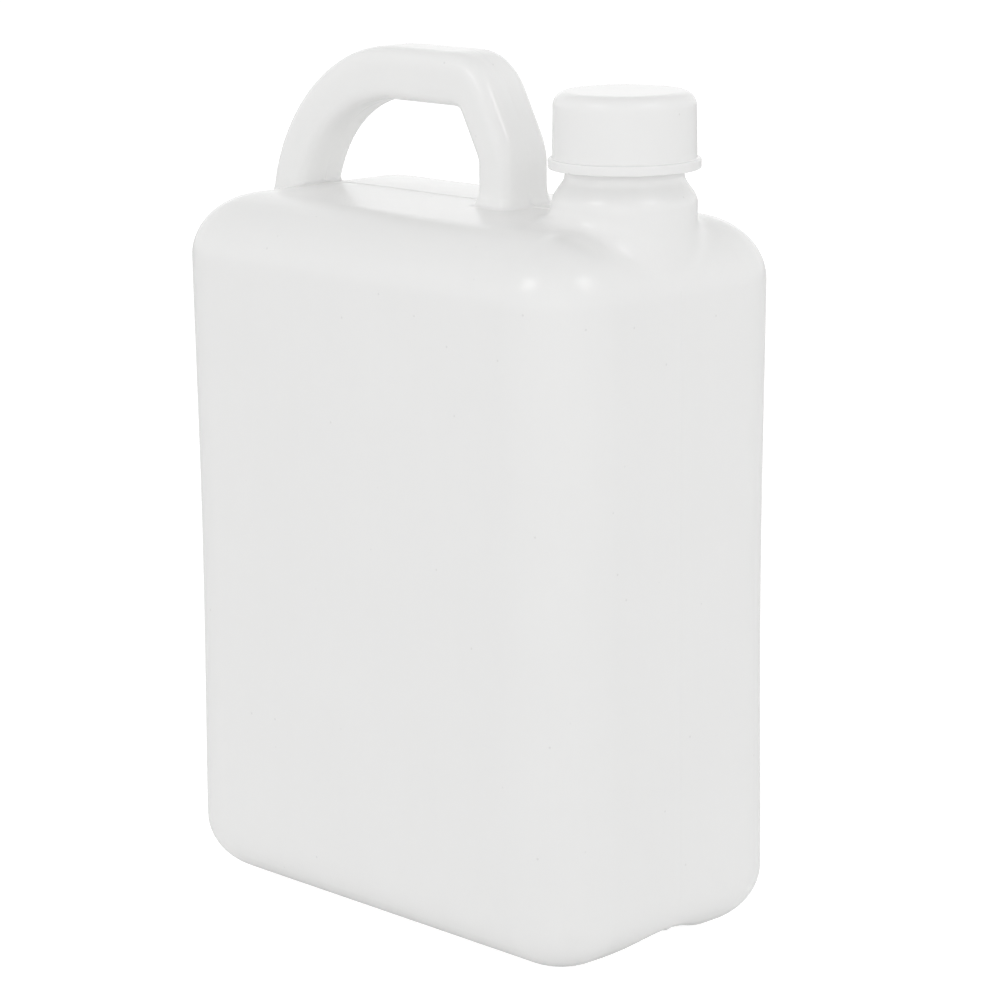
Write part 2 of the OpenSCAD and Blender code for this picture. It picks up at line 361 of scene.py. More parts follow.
class NodeGroups:
    """The shader node groups that the finishes share, each built once."""

    STREAK_SCALE = 170.0
    STREAK_STRETCH = 0.12
    STREAK_SHARE = 0.35
    SPECK_CORE = 0.55

    @staticmethod
    def start(
        name: str, inputs: dict[str, float], outputs: Sequence[str]
    ) -> tuple[bpy.types.NodeTree, Callable]:
        """Makes an empty group with number sockets.

        Args:
            name: Name of the group.
            inputs: Names of the inputs and their values to begin with.
            outputs: Names of the outputs.

        Returns:
            The tree and a function that adds a node to it.
        """
        tree = bpy.data.node_groups.new(name, "ShaderNodeTree")
        for label, value in inputs.items():
            socket = tree.interface.new_socket(
                label, in_out="INPUT", socket_type="NodeSocketFloat"
            )
            socket.default_value = value
        for label in outputs:
            tree.interface.new_socket(label, in_out="OUTPUT", socket_type="NodeSocketFloat")
        return tree, node_maker(tree)

    @classmethod
    def clouding(cls) -> bpy.types.NodeTree:
        """Makes faint clouds and flow streaks for milky plastic.

        Returns:
            The group, whose factor stays near 1.
        """
        found = bpy.data.node_groups.get("milky_clouding")
        if found:
            return found
        tree, add = cls.start("milky_clouding", {"Scale": 25.0, "Strength": 0.02}, ["Factor"])
        given, out = add("NodeGroupInput"), add("NodeGroupOutput")
        where = add("ShaderNodeTexCoord")
        clouds = add("ShaderNodeTexNoise", {"Detail": 3.0, "Roughness": 0.55})
        tree.links.new(where.outputs["Object"], clouds.inputs["Vector"])
        tree.links.new(given.outputs["Scale"], clouds.inputs["Scale"])
        stretch = add("ShaderNodeMapping", {"Scale": (1.0, 1.0, cls.STREAK_STRETCH)})
        tree.links.new(where.outputs["Object"], stretch.inputs["Vector"])
        streaks = add("ShaderNodeTexNoise", {"Scale": cls.STREAK_SCALE, "Detail": 2.0})
        tree.links.new(stretch.outputs["Vector"], streaks.inputs["Vector"])
        both = add("ShaderNodeMath", {1: cls.STREAK_SHARE}, operation="MULTIPLY_ADD")
        tree.links.new(streaks.outputs["Fac"], both.inputs[0])
        tree.links.new(clouds.outputs["Fac"], both.inputs[2])
        middle = 0.5 * (1.0 + cls.STREAK_SHARE)
        centred = add("ShaderNodeMath", {1: middle}, operation="SUBTRACT")
        tree.links.new(both.outputs[0], centred.inputs[0])
        scaled = add("ShaderNodeMath", {2: 1.0}, operation="MULTIPLY_ADD")
        tree.links.new(centred.outputs[0], scaled.inputs[0])
        tree.links.new(given.outputs["Strength"], scaled.inputs[1])
        tree.links.new(scaled.outputs[0], out.inputs["Factor"])
        return tree

    @classmethod
    def specks(cls) -> bpy.types.NodeTree:
        """Makes small dark specks set into the plastic.

        Returns:
            The group, whose mask is 1 in the middle of a speck.
        """
        found = bpy.data.node_groups.get("plastic_specks")
        if found:
            return found
        tree, add = cls.start("plastic_specks", {"Scale": 110.0, "Radius": 0.035}, ["Mask"])
        given, out = add("NodeGroupInput"), add("NodeGroupOutput")
        where = add("ShaderNodeTexCoord")
        cells = add("ShaderNodeTexVoronoi")
        tree.links.new(where.outputs["Object"], cells.inputs["Vector"])
        tree.links.new(given.outputs["Scale"], cells.inputs["Scale"])
        ratio = add("ShaderNodeMath", operation="DIVIDE")
        tree.links.new(cells.outputs["Distance"], ratio.inputs[0])
        tree.links.new(given.outputs["Radius"], ratio.inputs[1])
        edge = {"From Min": 1.0, "From Max": cls.SPECK_CORE, "To Min": 0.0, "To Max": 1.0}
        mask = add("ShaderNodeMapRange", edge, interpolation_type="SMOOTHSTEP")
        tree.links.new(ratio.outputs[0], mask.inputs["Value"])
        tree.links.new(mask.outputs["Result"], out.inputs["Mask"])
        return tree

    @classmethod
    def mould_grain(cls) -> bpy.types.NodeTree:
        """Makes the relief of a moulded surface: fine peel and a slow swell.

        Returns:
            The group, with the height of the relief.
        """
        found = bpy.data.node_groups.get("mould_grain")
        if found:
            return found
        sizes = {"Peel Scale": 700.0, "Swell Scale": 40.0, "Swell": 3.0}
        tree, add = cls.start("mould_grain", sizes, ["Height"])
        given, out = add("NodeGroupInput"), add("NodeGroupOutput")
        where = add("ShaderNodeTexCoord")
        peel = add("ShaderNodeTexNoise", {"Detail": 3.0, "Roughness": 0.6})
        swell = add("ShaderNodeTexNoise", {"Detail": 1.0})
        for texture, scale in ((peel, "Peel Scale"), (swell, "Swell Scale")):
            tree.links.new(where.outputs["Object"], texture.inputs["Vector"])
            tree.links.new(given.outputs[scale], texture.inputs["Scale"])
        height = add("ShaderNodeMath", operation="MULTIPLY_ADD")
        tree.links.new(swell.outputs["Fac"], height.inputs[0])
        tree.links.new(given.outputs["Swell"], height.inputs[1])
        tree.links.new(peel.outputs["Fac"], height.inputs[2])
        tree.links.new(height.outputs[0], out.inputs["Height"])
        return tree


def node_maker(tree: bpy.types.NodeTree) -> Callable:
    """Gives a function that adds nodes to one tree.

    Args:
        tree: The tree that the nodes go to.

    Returns:
        A function of the node's type, its input values and its own settings.
    """

    def add(kind: str, values: dict | None = None, **settings: object) -> bpy.types.Node:
        """Adds one node to the tree.

        Args:
            kind: Type of the node.
            values: Input values by name or number.
            settings: The node's own settings.

        Returns:
            The node.
        """
        node = tree.nodes.new(kind)
        for key, setting in settings.items():
            setattr(node, key, setting)
        for key, value in (values or {}).items():
            node.inputs[key].default_value = value
        return node

    return add


def blank_material(name: str) -> tuple[bpy.types.Material, Callable]:
    """Makes a material without nodes.

    Args:
        name: Name of the material.

    Returns:
        The material and a function that adds a node to it.
    """
    material = bpy.data.materials.new(name)
    material.use_nodes = True
    material.node_tree.nodes.clear()
    return material, node_maker(material.node_tree)


def split_by_ray(
    tree: bpy.types.NodeTree,
    rays: Sequence[str],
    other: bpy.types.Node,
    shown: bpy.types.Node,
    out: bpy.types.Node,
) -> None:
    """Gives some kinds of light path another shader than the rest.

    Args:
        tree: The tree that holds the shaders.
        rays: Outputs of the light path node that pick the second shader.
        other: Shader for every other ray.
        shown: Shader for the picked rays.
        out: Output node of the tree.
    """
    add = node_maker(tree)
    path = add("ShaderNodeLightPath")
    picked = path.outputs[rays[0]]
    for ray in rays[1:]:
        either = add("ShaderNodeMath", operation="MAXIMUM")
        tree.links.new(picked, either.inputs[0])
        tree.links.new(path.outputs[ray], either.inputs[1])
        picked = either.outputs[0]
    mix = add("ShaderNodeMixShader")
    tree.links.new(picked, mix.inputs["Fac"])
    tree.links.new(other.outputs[0], mix.inputs[1])
    tree.links.new(shown.outputs[0], mix.inputs[2])
    tree.links.new(mix.outputs[0], out.inputs["Surface"])


@dataclass(frozen=True)
class MouldedPlastic:
    """Milky, satin plastic with clouding, specks and the grain of its mould."""

    name: str
    colour: tuple[float, float, float]
    roughness: float
    cloud_scale: float
    cloud_strength: float
    speck_scale: float
    speck_radius: float
    speck_depth: float
    peel_scale: float
    relief: float
    roughness_swing: float = 1.5
    ior: float = 1.51

    def material(self) -> bpy.types.Material:
        """Makes the material.

        Returns:
            The finished material.
        """
        material, add = blank_material(self.name)
        tree = material.node_tree
        out = add("ShaderNodeOutputMaterial")
        shader = add("ShaderNodeBsdfPrincipled", {"IOR": self.ior, "Specular IOR Level": 0.5})
        tree.links.new(shader.outputs["BSDF"], out.inputs["Surface"])

        clouds = add("ShaderNodeGroup", node_tree=NodeGroups.clouding())
        clouds.inputs["Scale"].default_value = self.cloud_scale
        clouds.inputs["Strength"].default_value = self.cloud_strength
        specks = add("ShaderNodeGroup", node_tree=NodeGroups.specks())
        specks.inputs["Scale"].default_value = self.speck_scale
        specks.inputs["Radius"].default_value = self.speck_radius
        darker = add(
            "ShaderNodeMath", {1: -self.speck_depth, 2: 1.0}, operation="MULTIPLY_ADD"
        )
        tree.links.new(specks.outputs["Mask"], darker.inputs[0])
        shade = add("ShaderNodeMath", operation="MULTIPLY")
        tree.links.new(clouds.outputs["Factor"], shade.inputs[0])
        tree.links.new(darker.outputs[0], shade.inputs[1])
        colour = add("ShaderNodeVectorMath", {0: self.colour}, operation="SCALE")
        tree.links.new(shade.outputs[0], colour.inputs["Scale"])
        tree.links.new(colour.outputs["Vector"], shader.inputs["Base Color"])

        swing = {1: -self.roughness_swing, 2: self.roughness + self.roughness_swing}
        rough = add("ShaderNodeMath", swing, operation="MULTIPLY_ADD")
        tree.links.new(clouds.outputs["Factor"], rough.inputs[0])
        tree.links.new(rough.outputs[0], shader.inputs["Roughness"])

        grain = add("ShaderNodeGroup", node_tree=NodeGroups.mould_grain())
        grain.inputs["Peel Scale"].default_value = self.peel_scale
        bump = add("ShaderNodeBump", {"Strength": 1.0, "Distance": self.relief * MM})
        tree.links.new(grain.outputs["Height"], bump.inputs["Height"])
        tree.links.new(bump.outputs["Normal"], shader.inputs["Normal"])
        return material


@dataclass(frozen=True)
class ClosedFoam:
    """White foam with fine closed cells, as in a sealing disc."""

    name: str
    colour: tuple[float, float, float]
    cell_scale: float
    relief: float
    roughness: float = 0.75
    ior: float = 1.45
    cell_shade: float = 0.94
    cell_reach: float = 0.7

    def material(self) -> bpy.types.Material:
        """Makes the material.

        Returns:
            The finished material.
        """
        material, add = blank_material(self.name)
        tree = material.node_tree
        out = add("ShaderNodeOutputMaterial")
        shader = add(
            "ShaderNodeBsdfPrincipled", {"Roughness": self.roughness, "IOR": self.ior}
        )
        tree.links.new(shader.outputs["BSDF"], out.inputs["Surface"])
        where = add("ShaderNodeTexCoord")
        cells = add("ShaderNodeTexVoronoi", {"Scale": self.cell_scale})
        tree.links.new(where.outputs["Object"], cells.inputs["Vector"])
        fall = {"From Max": self.cell_reach, "To Min": 1.0, "To Max": self.cell_shade}
        shade = add("ShaderNodeMapRange", fall)
        tree.links.new(cells.outputs["Distance"], shade.inputs["Value"])
        colour = add("ShaderNodeVectorMath", {0: self.colour}, operation="SCALE")
        tree.links.new(shade.outputs["Result"], colour.inputs["Scale"])
        tree.links.new(colour.outputs["Vector"], shader.inputs["Base Color"])
        bump = add("ShaderNodeBump", {"Strength": 1.0, "Distance": self.relief * MM})
        tree.links.new(cells.outputs["Distance"], bump.inputs["Height"])
        tree.links.new(bump.outputs["Normal"], shader.inputs["Normal"])
        return material


# ---------------------------------------------------------------- bottle


@dataclass
class Carcass:
    """The flat body of the bottle with its rounded corners, shoulders and heel."""

    width: float = 202.6
    depth: float = 115.6
    height: float = 255.8
    taper: float = 0.8
    waist: float = 0.7
    corner: float = 26.0
    shoulder_x: float = 27.8
    shoulder_y: float = 26.8
    shoulder: float = 22.6
    heel: float = 21.7
    crown: float = 1.3
    crown_power: float = 1.8
    crown_fades: float = 42.0
    crown_ends: float = 20.0
    channel_half: float = 22.0
    channel_rise: float = 3.0
    channel_flat: float = 50.0
    channel_end_half: float = 40.0
    channel_end_rise: float = 9.5
    weld: float = 0.7
    weld_width: float = 0.8

    def solid(self, x: np.ndarray, y: np.ndarray, z: np.ndarray) -> np.ndarray:
        """Distance field of the body without its channel.

        Args:
            x: Places along the wide side, in millimetres.
            y: Places across the bottle.
            z: Heights over the ground.

        Returns:
            The field, negative inside.
        """
        along = np.clip(z / self.height, 0.0, 1.0)
        swell = self.taper / 2.0 * along - self.waist * np.sin(math.pi * along) ** 2
        ease = np.hypot(y, 1.0) / (self.depth / 2 - self.shoulder_y)
        dome = 1.0 - np.minimum(ease, 1.0) ** self.crown_power
        end = self.width / 2
        dome = dome * (
            1.0 - smooth_step(end - self.crown_fades, end - self.crown_ends, np.abs(x))
        )
        top = self.height - self.crown * (1.0 - dome)
        upper = (z - (top - self.shoulder)) / self.shoulder
        lower = (self.heel - z) / self.heel
        w = np.maximum(np.maximum(upper, lower), 0.0)
        rz = np.where(upper > 0.0, self.shoulder, self.heel)
        share = np.clip(upper, 0.0, 1.0)
        rx = self.corner + (self.shoulder_x - self.corner) * share
        ry = self.corner + (self.shoulder_y - self.corner) * share
        u = np.maximum(np.abs(x) - (self.width / 2 + swell - rx), 0.0) / rx
        v = np.maximum(np.abs(y) - (self.depth / 2 + swell - ry), 0.0) / ry
        reach = np.sqrt(u * u + v * v + w * w)
        slope = np.sqrt((u / rx) ** 2 + (v / ry) ** 2 + (w / rz) ** 2)
        rounded = (reach - 1.0) * reach / np.maximum(slope, 1e-9)
        return np.where(reach > 0.2, rounded, -0.8 * self.corner)

    def channel(self, x: np.ndarray, y: np.ndarray) -> np.ndarray:
        """Height of the channel's roof under the base.

        Args:
            x: Places along the wide side, in millimetres.
            y: Places across the bottle.

        Returns:
            The height, which falls below 0 beside the channel.
        """
        run = self.width / 2 - self.channel_flat
        out = np.clip((np.abs(x) - self.channel_flat) / run, 0.0, 1.1)
        half = self.channel_half + (self.channel_end_half - self.channel_half) * out
        rise = self.channel_rise + (self.channel_end_rise - self.channel_rise) * out
        roof = rise * (1.0 + np.cos(math.pi * np.clip(y / half, -1.0, 1.0))) / 2.0
        roof = roof - self.weld * np.exp(-((y / self.weld_width) ** 2))
        return roof - 0.2 * np.maximum(np.abs(y) - half, 0.0)


@dataclass
class Handle:
    """The hollow handle that runs from the outer shoulder over to the foot beside the neck."""

    outer_x: float = -89.4
    inner_x: float = 21.0
    bar_z: float = 298.35
    leg: float = 16.6
    bar: float = 18.9
    width: float = 22.5
    edge: float = 5.2
    outer_bend: float = 57.6
    inner_bend: float = 14.0
    slant: float = 61.8
    knee_z: float = 273.4
    knee_bend: float = 14.0
    foot_z: float = 226.0
    flare: float = 1.2
    flare_top: float = 262.8
    outer_flare_top: float = 253.1
    flare_height: float = 7.0
    flare_split_x: float = -40.0
    late: float = 0.35
    leg_gap: float = 1.2
    path_gap: float = 0.8
    batch: int = 20000

    def path(self) -> np.ndarray:
        """Runs along the middle line from the outer foot to the inner one.

        Returns:
            Rows of x, z, direction along x, direction along z and thickness.
        """
        slant = math.radians(self.slant)
        slant_x = self.inner_x - (self.bar_z - self.knee_z) / math.tan(slant)
        cut = self.inner_bend * math.tan(slant / 2)
        knee = self.knee_bend * math.tan((math.pi / 2 - slant) / 2)
        rows: list[tuple[float, float, float]] = [
            (self.outer_x, z, self.leg)
            for z in np.arange(self.foot_z, self.bar_z - self.outer_bend, self.leg_gap)
        ]
        outer, inner, foot = self.outer_bend, self.inner_bend, self.knee_bend
        tilt = 90.0 - self.slant
        # Each bend: centre, radius, first and last angle, thickness before and after, late share.
        bends = (
            (self.outer_x + outer, self.bar_z - outer, outer, 180.0, 90.0,
             self.leg, self.bar, self.late),
            (slant_x - cut, self.bar_z - inner, inner, 90.0, tilt, self.bar, self.leg, 0.0),
            (self.inner_x - foot, self.knee_z - knee, foot, tilt, 0.0, self.leg, self.leg, 0.0),
        )
        for cx, cz, radius, start, end, before, after, late in bends:
            count = max(12, math.ceil(radius * math.radians(abs(end - start))))
            for i in range(count + 1):
                ease = max(0.0, (i / count - late) / (1.0 - late))
                share = (1.0 - math.cos(math.pi * ease)) / 2.0
                a = math.radians(start + (end - start) * i / count)
                thick = before + (after - before) * share
                rows.append((cx + radius * math.cos(a), cz + radius * math.sin(a), thick))
        rows += [
            (self.inner_x, z, self.leg)
            for z in np.arange(self.knee_z - knee - 1.0, self.foot_z, -self.leg_gap)
        ]
        line = np.array(rows)
        gaps = np.hypot(np.diff(line[:, 0]), np.diff(line[:, 1]))
        keep = np.concatenate([[True], gaps > 1e-6])
        line = line[keep]
        gaps = np.hypot(np.diff(line[:, 0]), np.diff(line[:, 1]))
        run = np.concatenate([[0.0], np.cumsum(gaps)])
        even = np.linspace(0.0, run[-1], int(run[-1] / self.path_gap))
        fine = np.stack([np.interp(even, run, line[:, c]) for c in range(3)], axis=1)
        way = np.stack([np.gradient(fine[:, 0]), np.gradient(fine[:, 1])], axis=1)
        way /= np.linalg.norm(way, axis=1, keepdims=True)
        return np.concatenate([fine[:, :2], way, fine[:, 2:]], axis=1)

    def solid(self, x: np.ndarray, y: np.ndarray, z: np.ndarray) -> np.ndarray:
        """Distance field of the handle.

        Args:
            x: Places along the wide side, in millimetres.
            y: Places across the bottle.
            z: Heights over the ground.

        Returns:
            The field, negative inside.
        """
        x, y, z = np.broadcast_arrays(x, y, z)
        value = np.full(x.shape, 30.0)
        near = (z > self.foot_z) & (np.abs(y) < 20.0)
        near &= (x > self.outer_x - 22.6) & (x < self.inner_x + 23.0)
        px, py, pz = x[near], y[near], z[near]
        path = self.path()
        found = np.empty(len(px))
        for first in range(0, len(px), self.batch):
            part = slice(first, first + self.batch)
            dx = px[part, None] - path[None, :, 0]
            dz = pz[part, None] - path[None, :, 1]
            best = np.argmin(dx * dx + dz * dz, axis=1)
            row = path[best]
            side = (px[part] - row[:, 0]) * -row[:, 3] + (pz[part] - row[:, 1]) * row[:, 2]
            level = np.where(
                row[:, 0] > self.flare_split_x, self.flare_top, self.outer_flare_top
            )
            wide = self.flare * np.clip((level - row[:, 1]) / self.flare_height, 0.0, 1.0) ** 2
            u = np.abs(side) - (row[:, 4] / 2 + wide - self.edge)
            v = np.abs(py[part]) - (self.width / 2 + wide - self.edge)
            outside = np.hypot(np.maximum(u, 0.0), np.maximum(v, 0.0))
            found[part] = outside + np.minimum(np.maximum(u, v), 0.0) - self.edge
        value[near] = found
        return value


@dataclass
class ThreadRun:
    """One run of screw thread on a turned wall."""

    start: float
    turns: float
    first_turn: float = 0.0
    lead: float = 5.0
    height: float = 1.7
    root: float = 2.8
    tip: float = 1.2
    fade: float = 0.125

    def rise(self, z: np.ndarray, angle: np.ndarray) -> np.ndarray:
        """Tells how far the thread stands out of its wall.

        Args:
            z: Heights of the points.
            angle: Their angles round the axis.

        Returns:
            The height of the thread at each point.
        """
        best = np.zeros_like(z)
        base = np.mod(angle / (2.0 * math.pi) - self.first_turn, 1.0)
        for lap in range(math.ceil(self.turns) + 1):
            turn = base + lap
            on = turn <= self.turns
            ease = np.clip(np.minimum(turn, self.turns - turn) / self.fade, 0.0, 1.0)
            away = np.abs(z - (self.start + self.lead * turn))
            flank = (self.root / 2 - away) / ((self.root - self.tip) / 2)
            best = np.maximum(best, np.where(on, np.clip(flank, 0.0, 1.0) * ease, 0.0))
        return best * self.height


@dataclass
class Neck:
    """The neck with its collar, cone, thread and lip."""

    x: float = 74.9
    collar_r: float = 24.7
    collar_z: float = 263.3
    radius: float = 20.2
    cone_z: float = 269.7
    lip_z: float = 295.6
    bore_r: float = 18.2
    foot_z: float = 232.0
    joint_z: float = 271.0
    collar_edge: float = 1.2
    cone_fillet: float = 0.8
    lip: float = 0.6
    thread_gap: float = 0.35
    thread: ThreadRun = field(default_factory=lambda: ThreadRun(start=281.8, turns=2.0))

    def solid(self, x: np.ndarray, y: np.ndarray, z: np.ndarray) -> np.ndarray:
        """Distance field of collar, cone and stub.

        Args:
            x: Places along the wide side, in millimetres.
            y: Places across the bottle.
            z: Heights over the ground.

        Returns:
            The field, negative inside.
        """
        r = np.hypot(x - self.x, y)
        fall = self.collar_r - self.radius
        run = self.cone_z - self.collar_z
        length = math.hypot(fall, run)
        cone = ((r - self.collar_r) * run + (z - self.collar_z) * fall) / length
        collar = smooth_max(r - self.collar_r, cone, self.collar_edge)
        shape = smooth_min(collar, r - self.radius, self.cone_fillet)
        return np.maximum(shape, self.foot_z - z)

    def tube(self, wall: float) -> Skin:
        """Makes the threaded tube over the stub.

        Args:
            wall: Wall of the body.

        Returns:
            The skin, round the z axis.
        """
        z0 = self.joint_z - 0.1
        step_z = self.joint_z + 2.0
        top = self.lip_z - self.lip
        outside = [(self.radius, z0)]
        outside += straight(self.radius, z0, self.radius, top, self.thread_gap)
        outside += bend(self.radius - self.lip, top, self.lip, 0.0, 90.0, 4)
        inside = bend(self.bore_r + self.lip, top, self.lip, 90.0, 180.0, 4)
        inside += straight(self.bore_r, top, self.bore_r, step_z, 3.0)
        inside += [(self.bore_r, step_z), (self.radius - wall, z0)]
        count = len(outside)

        def shape(radius: np.ndarray, height: np.ndarray, angle: np.ndarray) -> np.ndarray:
            """Adds the thread to the outer wall.

            Args:
                radius: Radii of the points.
                height: Their heights.
                angle: Their angles round the axis.

            Returns:
                The new radii.
            """
            radius = radius.copy()
            radius[:count] += self.thread.rise(height[:count], angle[:count])
            return radius

        return lathe(outside + inside, 160, shape)


@dataclass
class Bottle:
    """The blow-moulded bottle: one skin outside, one inside, and the threaded neck."""

    carcass: Carcass = field(default_factory=Carcass)
    handle: Handle = field(default_factory=Handle)
    neck: Neck = field(default_factory=Neck)
    wall: float = 1.4
    handle_fillet: float = 1.4
    collar_fillet: float = 1.5
    shoulder_fillet: float = 7.5
    seam: float = 0.28
    seam_width: float = 0.45
    seam_side: float = 0.35
    top_z: float = 236.0
    finish: MouldedPlastic = MouldedPlastic(
        name="milky_bottle_plastic",
        colour=(0.88, 0.88, 0.874),
        roughness=0.24,
        cloud_scale=22.0,
        cloud_strength=0.02,
        speck_scale=95.0,
        speck_radius=0.05,
        speck_depth=0.1,
        peel_scale=600.0,
        relief=0.02,
    )

    def plain(self, x: np.ndarray, y: np.ndarray, z: np.ndarray) -> np.ndarray:
        """Field of the bottle without its parting line.

        Args:
            x: Places along the wide side, in millimetres.
            y: Places across the bottle.
            z: Heights over the ground.

        Returns:
            The field, negative inside.
        """
        body = self.carcass.solid(x, y, z)
        roof = self.carcass.channel(x, y)
        body = smooth_max(body, roof - z, 2.0 * np.clip(roof / 2.0, 0.0, 1.0) + 1e-3)
        grows = self.shoulder_fillet - self.collar_fillet
        ease = self.collar_fillet + grows * smooth_step(238.0, 252.0, z)
        body = smooth_min(body, self.neck.solid(x, y, z), ease)
        return smooth_min(body, self.handle.solid(x, y, z), self.handle_fillet)

    def ridged(self, x: np.ndarray, y: np.ndarray, z: np.ndarray) -> np.ndarray:
        """Field of the bottle with its parting line, which is weaker on sides and handle.

        Args:
            x: Places along the wide side, in millimetres.
            y: Places across the bottle.
            z: Heights over the ground.

        Returns:
            The field, negative inside.
        """
        clear = smooth_step(26.0, 30.0, np.hypot(x - self.neck.x, y))
        more = 1.0 - self.seam_side
        rise = self.seam_side * smooth_step(12.0, 30.0, z)
        rise = rise + more * smooth_step(self.top_z, self.top_z + 14.0, z)
        rise = rise - more * smooth_step(257.0, 262.0, z)
        rise = rise * np.where(z > self.top_z, clear, 1.0)
        return self.plain(x, y, z) - self.seam * rise * np.exp(-((y / self.seam_width) ** 2))

    def outer_skin(self) -> Skin:
        """Makes the outside of the bottle up to the neck's stub.

        Returns:
            The skin, with finer faces at the parting line, the ends, the handle and the top.
        """
        near = steps((0.0, 0.35), (0.35, 0.45), (0.8, 0.6), (1.4, 0.8), (2.2, 1.4), (16.2, 1.0))
        far = steps((16.2, 1.8), (26.2, 2.7), (62.0, 1.0))
        half = np.concatenate([near[:-1], far])
        lines = (
            steps((-104.0, 1.6), (-74.0, 2.6), (8.0, 1.4), (34.0, 2.4), (49.0, 1.3), (104.2, 1.0)),
            np.concatenate([-half[:0:-1], half]),
            steps((-1.4, 1.4), (14.0, 3.2), (225.0, 1.8), (248.0, 1.0), (272.4, 1.9), (310.0, 1.0)),
        )
        skin = net(self.ridged, 0.0, lines)
        return self.opened(skin.settled(self.ridged, 0.0), self.neck.radius)

    def inner_skin(self) -> Skin:
        """Makes the inside of the bottle.

        Returns:
            The skin, with its faces turned to the space inside.
        """
        lines = (
            steps((-104.0, 4.0), (49.0, 2.5), (104.0, 1.0)),
            steps((-62.0, 3.5), (62.0, 1.0)),
            steps((-2.0, 3.5), (232.0, 2.5), (262.0, 1.5), (274.0, 3.0), (310.0, 1.0)),
        )
        skin = net(self.plain, -self.wall, lines).settled(self.plain, -self.wall)
        return self.opened(skin, self.neck.radius - self.wall).flipped()

    def opened(self, skin: Skin, radius: float) -> Skin:
        """Opens a closed skin at the neck.

        Args:
            skin: The closed skin.
            radius: Radius of the neck's wall on this skin.

        Returns:
            The skin with a round open edge at the joint with the tube.
        """
        shifted = skin.points - np.array([self.neck.x, 0.0, 0.0])
        by_neck = np.hypot(shifted[:, 0], shifted[:, 1]) < radius + 3.0
        level = np.where(by_neck, skin.points[:, 2], -1.0)
        keep = (level[skin.faces] < self.neck.joint_z).all(axis=1)
        used, numbers = np.unique(skin.faces[keep], return_inverse=True)
        left = Skin(skin.points[used], numbers.reshape(-1, 4))
        edge = left.rim_points()
        edge = edge[left.points[edge, 2] > self.neck.joint_z - 4.0]
        flat = left.points[edge, :2] - np.array([self.neck.x, 0.0])
        flat *= radius / np.linalg.norm(flat, axis=1, keepdims=True)
        left.points[edge, 0] = self.neck.x + flat[:, 0]
        left.points[edge, 1] = flat[:, 1]
        left.points[edge, 2] = self.neck.joint_z
        return left

    def build(self) -> bpy.types.Object:
        """Makes the bottle.

        Returns:
            The bottle as one piece.
        """
        tube = self.neck.tube(self.wall)
        tube.points[:, 0] += self.neck.x
        piece = add_piece("bottle_shell", [self.outer_skin(), self.inner_skin(), tube])
        piece.data.materials.append(self.finish.material())
        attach(piece, Body.BOTTLE.value)
        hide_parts("bottle")
        return piece


# ---------------------------------------------------------------- cap


